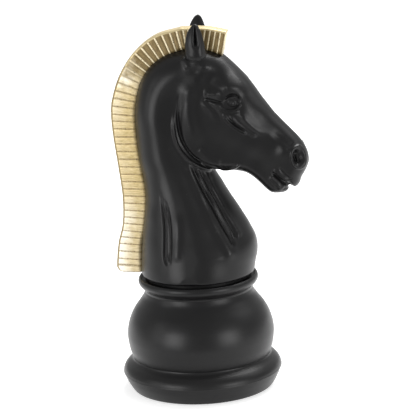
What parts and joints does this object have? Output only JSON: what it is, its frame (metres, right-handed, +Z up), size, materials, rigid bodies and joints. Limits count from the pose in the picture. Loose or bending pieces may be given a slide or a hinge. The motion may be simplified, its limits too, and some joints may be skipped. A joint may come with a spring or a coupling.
{
  "type": "giant chess knight",
  "caption": "Giant chess knight: a hollow horse's head with a ribbed gold mane on a round ballasted base of foot, bowl and collar.",
  "frame": {"origin": "centre of the round base on the surface that it stands on", "axes": "+Z up, +X the way the horse faces, +Y the horse's left"},
  "size_m": [0.2505, 0.204, 0.48],
  "materials": {
    "resin_black": "satin",
    "resin_foot": "satin",
    "resin_bowl": "satin",
    "resin_collar": "satin",
    "resin_ears": "satin",
    "gold_leaf": "satin",
    "resin_inner": "matte",
    "cover_plastic": "matte",
    "screw_steel": "satin",
    "pad_rubber": "matte",
    "plug_plastic": "satin",
    "seal_rubber": "matte",
    "sand": "matte",
    "zinc_steel": "satin",
    "dowel_wood": "matte"
  },
  "bodies": {
    "piece": {"foot": "resin_foot", "base_cover": "cover_plastic", "cover_screws": "screw_steel", "anti_slip_pad": "pad_rubber", "sand_ballast": "sand", "bowl": "resin_bowl", "collar": "resin_collar", "horse_shell": "resin_black", "neck_bulkhead": "resin_inner", "tie_rod": "zinc_steel", "lower_nut": "zinc_steel", "lower_washer": "zinc_steel", "captive_nut": "zinc_steel", "locating_pins": "zinc_steel", "ear_right": "resin_ears", "ear_left": "resin_ears", "ear_dowels": "dowel_wood", "mane": "gold_leaf", "mane_dowels": "dowel_wood"},
    "plug": {"filler_plug": "plug_plastic", "plug_seal": "seal_rubber"}
  },
  "joints": [
    {"name": "plug_turn", "type": "hinge", "parent": "piece", "child": "plug", "pos_m": [0.042, 0, 0.006], "axis": [0, 0, -1], "range_deg": [0, 90]}
  ]
}
